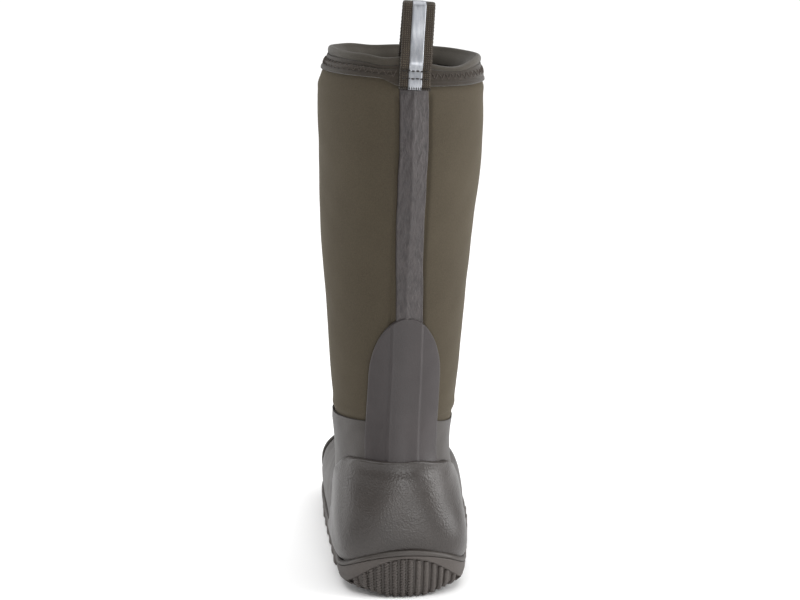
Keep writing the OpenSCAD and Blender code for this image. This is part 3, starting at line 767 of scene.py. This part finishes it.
def build_heel_shell():
    v = np.linspace(0, 1, 130)[:, None]
    a = (93 + 4 * smooth_step(v, 0, 0.5)) * np.linspace(-1, 1, 210)[None, :]
    t = heel_top(a) + (heel_low(a) - heel_top(a)) * v

    def shape(tt, aa, edge):
        ledge = 0.3 * bump(edge, 2.0, 1.2) * smooth_step(-tt, -9.9, -9.5)
        hollow = -0.6 * bump(edge, 8, 4) * np.cos(np.radians(aa)) ** 2 * smooth_step(-tt, -10.4, -9.8)
        return ledge + hollow + 0.3 * ripple(face_point(tt, aa), 42)
    # The ledge fades out on the inner side, and only there.
    fade = smooth_step(-a, 40, 58) * (1 - smooth_step(-a, 64, 80)) * (1 - smooth_step(v, 0.25, 0.45))
    radius = 2.1 + 12 * fade
    return pad("heel_shell", t, a, SHELL - 0.5, OVERLAY - SHELL + 0.5, HEEL_RUBBER, radius, shape)


def build_toe_cap():
    v = np.linspace(0, 1, 80)[:, None]
    u = np.linspace(-1, 1, 180)[None, :]
    t = 18.9 + (TOE_LAST - 18.9) * v
    a = 180 + (107 + 63 * v**1.3) * u
    return pad("toe_cap", t, a, SHELL - 0.5, OVERLAY - SHELL - 0.1, RUBBER, radius=2.2)


# -------------------- sole

def spring(y):
    """How far the sole curves up off the ground, from the ball of the foot to the toe."""
    return TOE_SPRING * (np.maximum(y - BALL, 0) / 82) ** 2


def outline(s):
    """Sole outline at s, from 0 at the heel, up the outer side, to 24 back at the heel."""
    s = np.asarray(s, float) % (2 * SOLE_END)
    outer = s <= SOLE_END
    row = catmull_rom(SOLE_ROWS, np.where(outer, s, 2 * SOLE_END - s))
    return np.stack([np.where(outer, row[..., 2], row[..., 1]), row[..., 0]], -1)


def outline_at(s, out):
    """The outline moved outward by out mm."""
    d = outline(s + 0.05) - outline(s - 0.05)
    n = np.stack([d[..., 1], -d[..., 0]], -1)
    n /= np.linalg.norm(n, axis=-1, keepdims=True)
    return outline(s) + n * np.asarray(out)[..., None]


def from_heel(s):
    """How far along the outline a place is from the heel."""
    s = s % (2 * SOLE_END)
    return np.minimum(s, 2 * SOLE_END - s)


def wall_top(s):
    """Top of the sole's side wall, with a rounded tab at the back of the heel."""
    tab = 8.5 * (1 + np.cos(np.radians(76 * np.minimum(from_heel(s), 180 / 76))))
    return WALL_H + tab + 0.9 * spring(outline(s)[..., 1])


def crescent_top(x):
    """Top of the ribbed crescent on the back of the heel."""
    return 31.5 - 18 * (x / 38) ** 2


# The side wall's profile: share of its height, and how far it stands out.
WALL_LEVELS = np.array([[0, -2.5], [0.16, 0.2], [0.55, 1.6], [1, 2.2]])


def wall_reach(share):
    return np.interp(share, WALL_LEVELS[:, 0], WALL_LEVELS[:, 1])


def heel_bottom(s):
    """Height of the wall's lower edge: it is down on the ground only behind the heel."""
    return 0.4 + (LUG_DEPTH - 0.4) * smooth_step(from_heel(s), 0.35, 1.05)


# Places round the outline at which the outsole and the foxing are meshed.
ROUND_SOLE = np.arange(960) * 2 * SOLE_END / 960


def build_outsole():
    s = ROUND_SOLE
    count = len(s)
    top = wall_top(s)
    middle = outline(s)
    bottom = heel_bottom(s) + spring(middle[:, 1])
    rows = []
    for share in np.concatenate([[0, 0.004, 0.02], np.linspace(0.05, 0.97, 44), [0.985, 0.996, 1.0]]):
        z = bottom + (top - bottom) * share
        reach = wall_reach(share) * np.ones(count)
        corner = -1.0 * (share < 0.003) - 0.4 * (0.003 <= share < 0.01) - 0.35 * (share > 0.99)
        back = (from_heel(s) < 1.6) & (middle[:, 1] < -15)
        recess = smooth_step(crescent_top(middle[:, 0]) - z, -0.2, 0.7) * back
        reach = reach + corner - 2.6 * recess
        p = outline_at(s, reach)
        rows.append(np.column_stack([p, z]))
    for reach, z_share in ((-0.5, 1.0), (-0.9, 0.98), (-1.6, 0.5), (-2.2, 0.0)):
        p = outline_at(s, np.full(count, reach))
        floor = 9.8 + spring(middle[:, 1])
        rows.append(np.column_stack([p, floor + (top - floor) * z_share]))
    points = np.vstack(rows)
    faces = [q[::-1] for q in grid_quads(len(rows), count, wrap_cols=True)]
    last = (len(rows) - 1) * count
    half = count // 2
    for k in range(half):
        a, b, c, d = k, k + 1, (count - k - 1) % count, (count - k) % count
        corners = [a, b, c] if k == 0 else [a, b, d] if k == half - 1 else [a, b, c, d]
        faces.append(corners)
        faces.append([last + i for i in reversed(corners)])
    return closed_mesh("outsole_body", points, faces, TREAD)


def prism(outline_points, low, high, foot):
    """Points and faces of a lug: an upright prism whose foot is chamfered.

    The foot may be narrower, by a scale about the boot's origin.
    """
    bevel = 0.9
    ring = np.asarray(outline_points, float)
    centre = ring.mean(0)
    reach = np.maximum(np.linalg.norm(ring - centre, axis=1, keepdims=True), 1)
    inset = centre + (ring - centre) * (1 - bevel / reach)
    n = len(ring)
    levels = [(inset * foot, low), (ring * min(foot + 0.02, 1), low + bevel), (ring, high)]
    points = np.vstack([np.column_stack([r, np.full(n, z)]) for r, z in levels])
    faces = [q[::-1] for q in grid_quads(3, n, wrap_cols=True)]
    faces.append(list(range(n))[::-1])
    faces.append([2 * n + i for i in range(n)])
    return points, faces


def lug_shape(s1, s2, proud, reach):
    """Outline of an edge lug from s1 to s2 along the sole, with a rounded outer side."""
    f = np.array([0, 0.12, 0.35, 0.65, 0.88, 1])
    out = proud - 1.5 + np.array([0, 0.9, 1.5, 1.5, 0.9, 0])
    edge = outline_at(s1 + (s2 - s1) * f, out)
    inner = outline_at(np.array([s2, s1]), np.array([-reach, -reach * 0.8]))
    return np.vstack([edge, inner])


def chevron_shape(y, x, w, length):
    """Outline of a chevron that points forward."""
    half, arm = length / 2, length * 0.45
    return np.array([
        [x - w / 2, y - half], [x, y - half + arm], [x + w / 2, y - half],
        [x + w / 2, y + half - arm], [x, y + half], [x - w / 2, y + half - arm],
    ])


# Rows of chevron lugs under the heel, the ball and the toe: their places along the sole, x,
# width and length.
CHEVRONS = [
    ((-13, 3, 19, 35), 1, 44, 13),
    ((104, 122, 140, 158, 176, 194), 11, 58, 13),
    ((214, 231), 5, 36, 12),
]
HEEL_LUG = np.array([[-24, -28], [-19, -39], [0, -43.4], [19, -39], [24, -28], [10, -23], [-10, -23]])


def build_lugs():
    """Edge lugs, chevrons and the lug at the back of the heel, as one object.

    Each shape comes with how far it reaches into the sole and how wide its foot is.
    """
    shapes = []
    for s in (1.35, 2.15, 2.95):
        for s1, s2 in ((s, s + 0.5), (2 * SOLE_END - s - 0.5, 2 * SOLE_END - s)):
            shapes.append((lug_shape(s1, s2, 0.8, 12), 3, 0.76))
    for s in np.arange(3.87, 10.9, 0.7):
        reach = 8 if s < 5 else 15
        shapes.append((lug_shape(s, s + 0.44, 4.0, reach), 7, 1.0))
        shapes.append((lug_shape(2 * SOLE_END - s - 0.44, 2 * SOLE_END - s, 1.3, reach), 7, 1.0))
    for places, x, width, length in CHEVRONS:
        for y in places:
            shapes.append((chevron_shape(y, x, width, length), 0.6, 1.0))
    shapes.append((HEEL_LUG, 0.6, 1.0))
    points, faces = [], []
    for shape, above, foot in shapes:
        lift = float(spring(shape[:, 1].mean()))
        p, f = prism(shape, lift, lift + LUG_DEPTH + above, foot)
        start = sum(len(x) for x in points)
        points.append(p)
        faces += [[i + start for i in face] for face in f]
    obj = closed_mesh("tread_lugs", np.vstack(points), faces, TREAD)
    obj.data.polygons.foreach_set("use_smooth", [False] * len(obj.data.polygons))
    return obj


def build_heel_ribs():
    """Upright ribs up the back of the heel, each twisted like a rope."""
    sides = 20
    angles = np.arange(sides) * 2 * math.pi / sides
    points, faces = [], []
    for x in np.arange(-36.4, 36.5, 5.6):
        s = float(np.interp(x, [-46, -33, 0, 33, 46], [-2, -1, 0, 1, 2]))
        top = crescent_top(x) - 0.3
        low = float(heel_bottom(np.array([s % (2 * SOLE_END)]))[0])
        z = np.arange(low, top, 0.3)
        share = (z - low) / (wall_top(np.array([s]))[0] - low)
        middle = outline_at(np.full(len(z), s), wall_reach(share) - 2.3)
        twist = 2 * math.pi * z / 2.3
        rope = 0.34 - 0.24 * float(smooth_step(x, 2, 12))
        radius = 2.0 + rope * np.cos(2 * angles[None, :] - twist[:, None])
        radius *= np.clip((top - z) / 1.0, 0.25, 1)[:, None] ** 0.5
        ring = np.stack([np.cos(angles) * radius, np.sin(angles) * radius, 0 * radius], -1)
        p = np.column_stack([middle, z])[:, None] + ring
        start = sum(len(q) for q in points)
        points.append(p.reshape(-1, 3))
        faces += grid_quads(len(z), sides, wrap_cols=True, start=start)
        faces.append([start + i for i in range(sides)])
        faces.append([start + (len(z) - 1) * sides + i for i in reversed(range(sides))])
    return closed_mesh("heel_ribs", np.vstack(points), faces, TREAD)


def build_foxing():
    s = ROUND_SOLE
    turn = np.linspace(-0.42 * math.pi, 0.95 * math.pi, 12)
    reach = 0.7 + 1.6 * np.cos(turn)
    rise = 2.1 + 2.1 * np.sin(turn)
    top = wall_top(s)
    rows = []
    for r, z in zip(reach, rise):
        lean = -0.35 * max(z - 2, 0)
        p = outline_at(s, np.full(len(s), r + lean))
        rows.append(np.column_stack([p, top + z]))
    faces = grid_quads(len(rows), len(s), wrap_rows=True, wrap_cols=True)
    return closed_mesh("foxing_rim", np.vstack(rows), faces, RIM_RUBBER)


# -------------------- pull loop

LEAN = math.radians(4.1)
LOOP_X, LOOP_Y, LOOP_TOP = 5.6, -36.2, 446
WEBBING_LOW, INNER_END = 383, 388
WEBBING_W, WEBBING_T, TAPE_W = 23, 1.6, 9.8
# Offset of the webbing's underside where it is sewn to the boot.
SEWN_AT = 2.9


def leaned(points):
    """Points of the webbing, leant to the outer side about its lower end."""
    p = np.array(points, float)
    x, z = p[..., 0] - LOOP_X, p[..., 2] - WEBBING_LOW
    p[..., 0] = LOOP_X + x * math.cos(LEAN) + z * math.sin(LEAN)
    p[..., 2] = WEBBING_LOW - x * math.sin(LEAN) + z * math.cos(LEAN)
    return p


def wall_y(z, offset):
    return skin(ring_at_height(z), SEAM_TURN, offset)[..., 1]


def webbing_path(out=0.0):
    """Side view of the webbing's middle, [y, z], from its outer end over the loop to its inner end."""
    half = WEBBING_T / 2
    points = [[wall_y(z, SEWN_AT + half + out), z] for z in (383.2, 386.5, 390, 393.5, 397)]
    points += [[LOOP_Y - 9.1 - out, 401], [LOOP_Y - 8.6 - out, 406], [LOOP_Y - 7.2 - out, 412]]
    points += [[LOOP_Y - 6 - out, 420], [LOOP_Y - 5.2 - out, 430]]
    top = LOOP_TOP - half - 3.4
    points += [[LOOP_Y + (4 + out) * math.cos(a), top + (3.4 + out) * math.sin(a)]
               for a in np.radians(np.arange(180, -1, -22.5))]
    points += [[LOOP_Y + 5.2 + out, 430], [LOOP_Y + 6 + out, 420], [LOOP_Y + 7.2 + out, 412]]
    points += [[LOOP_Y + 8.2 + out, 406], [LOOP_Y + 8.6 + out, 400], [LOOP_Y + 8.9 + out, INNER_END]]
    return np.array(points)


def resample(path):
    """A smooth path through the points, at steps of about 1 mm."""
    ends = np.vstack([2 * path[0] - path[1], path, 2 * path[-1] - path[-2]])
    fine = catmull_rom(ends, np.linspace(0, len(path) - 1.001, len(path) * 24))
    length = np.concatenate([[0], np.cumsum(np.linalg.norm(np.diff(fine, axis=0), axis=1))])
    at = np.linspace(0, length[-1], int(length[-1]))
    return np.column_stack([np.interp(at, length, fine[:, k]) for k in range(fine.shape[1])])


def ribbon(name, path, width, thickness, material, columns=24, edge=None):
    """A flat strap along a side-view path. Its cross-section has round edges."""
    path = resample(path)
    d = np.gradient(path, axis=0)
    d /= np.linalg.norm(d, axis=1, keepdims=True)
    normal = np.column_stack([-d[:, 1], d[:, 0]])
    across = np.linspace(-1, 1, columns)
    half = thickness / 2 * np.sqrt(np.clip(1 - np.abs(across) ** 14, 0.02, 1))
    section = np.vstack([np.column_stack([across, half]), np.column_stack([across, -half])[::-1]])
    x = LOOP_X + section[:, 0] * width / 2
    rows, cols = len(path), len(section)
    length = np.arange(rows) * 1.0
    points = np.empty((rows, cols, 3))
    points[..., 0] = x
    points[..., 1:] = path[:, None] + normal[:, None] * section[:, 1:]
    if edge is not None:
        points[..., 0] += edge(length[:, None], section[:, 0])
    points = leaned(points)
    faces = grid_quads(rows, cols, wrap_cols=True)
    uv = []
    for j in range(rows - 1):
        for i in range(cols):
            n = (i + 1) % cols
            uv += [(x[i] * MM, length[j] * MM), (x[i] * MM, length[j + 1] * MM),
                   (x[n] * MM, length[j + 1] * MM), (x[n] * MM, length[j] * MM)]
    faces.append(list(range(cols)))
    faces.append([(rows - 1) * cols + i for i in reversed(range(cols))])
    uv += [(0, 0)] * (2 * cols)
    return closed_mesh(name, points.reshape(-1, 3), faces, material, uv)


def woven_edge(along, across):
    """The selvedge is a little uneven."""
    return np.sign(across) * (np.abs(across) > 0.9) * 0.22 * np.sin(along * 2.4)


def build_webbing():
    path = webbing_path()
    return ribbon("webbing", path, WEBBING_W, WEBBING_T, WEBBING, edge=woven_edge)


def build_tape():
    path = webbing_path(out=WEBBING_T / 2 + 0.2)[:-6]
    return ribbon("reflective_tape", path, TAPE_W, 0.4, SILVER, columns=12)


def build_webbing_stitches():
    """Two rows of lock stitches through the tape and the collar."""
    paths = []
    for z in (391, 396.4):
        for i in range(6):
            x = LOOP_X - 9.6 + i * 3.3
            f = np.linspace(0, 1, 6)
            y = wall_y(z, SEWN_AT + WEBBING_T) - 0.35 - 0.35 * np.sin(f * math.pi)
            paths.append(leaned(np.column_stack([x + 2.5 * f, y, np.full(6, z + 0.2 * (i % 2))])))
    return tubes("webbing_stitching", paths, 0.5, DARK_THREAD, sides=8)


def build_webbing_hem():
    """Dark overlock along the webbing's cut end."""
    paths = []
    for i in range(14):
        x = LOOP_X - WEBBING_W / 2 + 0.8 + i * (WEBBING_W - 1.6) / 13
        y = wall_y(383.4, SEWN_AT + WEBBING_T)
        paths.append(leaned([[x, y - 0.1, 385.2], [x + 0.2, y - 0.7, 384.2], [x + 0.4, y + 0.6, 382.9]]))
    return tubes("webbing_hem", paths, 0.55, DARK_THREAD, sides=6)


# -------------------- inside

def build_footbed():
    v = np.linspace(0, 1, 100)[:, None]
    u = np.linspace(-1, 1, 60)[None, :]
    t = 12.85 + (20.1 - 12.85) * v

    def shape(tt, aa, edge):
        return 0.25 * ripple(face_point(tt, aa), 14)
    obj = pad("footbed", t, 34 * u, -LINING - 2.8 - 4.2, 4.2, FOAM, radius=1.0)
    cover = pad("footbed_cover", t, 33.4 * u, -LINING - 2.4 - 5.7, 0.9, FLEECE, radius=0.6, shape=shape)
    return obj, cover


def build_foot_lining():
    t = np.concatenate([np.linspace(9.27, 14, 50), np.linspace(14, TOE_LAST, 60)[1:]])
    return closed_foot("foot_lining", t, -LINING, -NEOPRENE - 0.1, FLEECE, 180)


# -------------------- assembly

def dress(obj, body, slot, *nodes):
    """Puts a piece on its body, in place of the CAD nodes it stands for."""
    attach(obj, body)
    if nodes:
        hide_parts(*nodes)


dress(build_shaft(), "boot", "olive_neoprene", "shaft_neoprene")
lining, facing = build_lining()
dress(lining, "boot", "fleece", "shaft_lining")
dress(facing, "boot", "collar_knit")
dress(build_foot_lining(), "boot", "fleece", "foot_lining")
dress(build_collar_band(), "boot", "collar_knit", "collar_band")
dress(build_binding(), "boot", "collar_knit", "topline_binding")
dress(build_collar_stitching(), "boot", "thread", "collar_stitching")
dress(build_strip(), "boot", "backstay_rubber", "backstay_strip")
dress(build_patch(), "boot", "rubber", "achilles_patch")
dress(build_foot_shell(), "boot", "rubber", "foot_shell", "ankle_band")
dress(build_heel_shell(), "boot", "rubber", "heel_shell")
dress(build_toe_cap(), "boot", "rubber", "toe_cap")
dress(build_outsole(), "boot", "tread_rubber", "outsole")
dress(build_lugs(), "boot", "tread_rubber")
dress(build_heel_ribs(), "boot", "tread_rubber")
dress(build_foxing(), "boot", "rubber", "foxing_rim")
dress(build_webbing_stitches(), "boot", "thread", "webbing_stitching")
dress(build_webbing_hem(), "boot", "thread")

lower = tuple(leaned([LOOP_X, LOOP_Y, 405]) * MM)
upper = tuple(leaned([LOOP_X, LOOP_Y, 416]) * MM)
webbing = build_webbing()
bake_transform(webbing)
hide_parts("pull_loop", "webbing_outer_end", "webbing_inner_end")
tape = build_tape()
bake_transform(tape)
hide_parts("reflective_tape", "reflective_tape_end")

footbed, footbed_cover = build_footbed()
dress(footbed, "insole", "foam", "footbed")
dress(footbed_cover, "insole", "fleece", "footbed_cover")

INSIDE = {
    "midsole": FOAM, "foot_neoprene": FOAM, "thermal_underlay": FOAM,
    "heel_counter": BOARD, "toe_puff": BOARD, "shank": STEEL,
}
for node, material in INSIDE.items():
    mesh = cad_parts[node].data
    mesh.materials.clear()
    mesh.materials.append(material)

# -------------------- studio

scene = bpy.context.scene
scene.view_settings.view_transform = "Standard"


def area_light(name, place, target, size, power):
    data = bpy.data.lights.new(name, "AREA")
    data.shape = "RECTANGLE"
    data.size, data.size_y = size
    data.energy = power
    obj = bpy.data.objects.new(name, data)
    obj.location = place
    obj.rotation_euler = (Vector(target) - Vector(place)).to_track_quat("-Z", "Y").to_euler()
    scene.collection.objects.link(obj)


# Height of the floor, just under the lugs, in metres.
FLOOR_Z = -0.0005


def build_studio():
    floor = bpy.data.meshes.new("floor")
    n, radius = 64, 60.0
    turns = [2 * math.pi * i / n for i in range(n)]
    ring = [(radius * math.cos(a), radius * math.sin(a), FLOOR_Z) for a in turns]
    floor.from_pydata(ring, [], [list(range(n))])
    floor_obj = bpy.data.objects.new("floor", floor)
    scene.collection.objects.link(floor_obj)
    m = Nodes("floor", 0.9, Specular_IOR_Level=0.0)
    m.shader.inputs["Base Color"].default_value = (0.94, 0.94, 0.94, 1)
    floor.materials.append(m.material)
    world = bpy.data.worlds.new("studio")
    scene.world = world
    world.use_nodes = True
    light = world.node_tree.nodes["Background"].inputs
    light["Color"].default_value = (1, 1, 1, 1)
    light["Strength"].default_value = 0.22
    # A wide soft light from straight above keeps the whole floor white.
    overhead = bpy.data.lights.new("overhead", "SUN")
    overhead.energy = 3.0
    overhead.angle = math.radians(80)
    scene.collection.objects.link(bpy.data.objects.new("overhead", overhead))
    area_light("right", (1.5, -0.35, 0.7), (0, 0, 0.22), (0.8, 1.3), 24)
    area_light("left_rim", (-1.5, 0.5, 0.6), (0, 0, 0.22), (0.7, 1.3), 10)
    area_light("key", (0.32, -1.9, 0.24), (0, 0, 0.12), (0.3, 0.3), 9)


def build_camera():
    """The view from behind, a little above and to the inner side."""
    distance, height, turn = 1.517, 0.5346, math.radians(6)
    down = math.radians(11.73)
    data = bpy.data.cameras.new("camera")
    data.sensor_width, data.lens = 36, 92.25
    camera = bpy.data.objects.new("camera", data)
    place = Vector((-distance * math.sin(turn), -distance * math.cos(turn), height))
    ahead = Vector((math.sin(turn) * math.cos(down), math.cos(turn) * math.cos(down), -math.sin(down)))
    camera.location = place
    camera.rotation_euler = ahead.to_track_quat("-Z", "Y").to_euler()
    scene.collection.objects.link(camera)
    scene.camera = camera


build_studio()
build_camera()
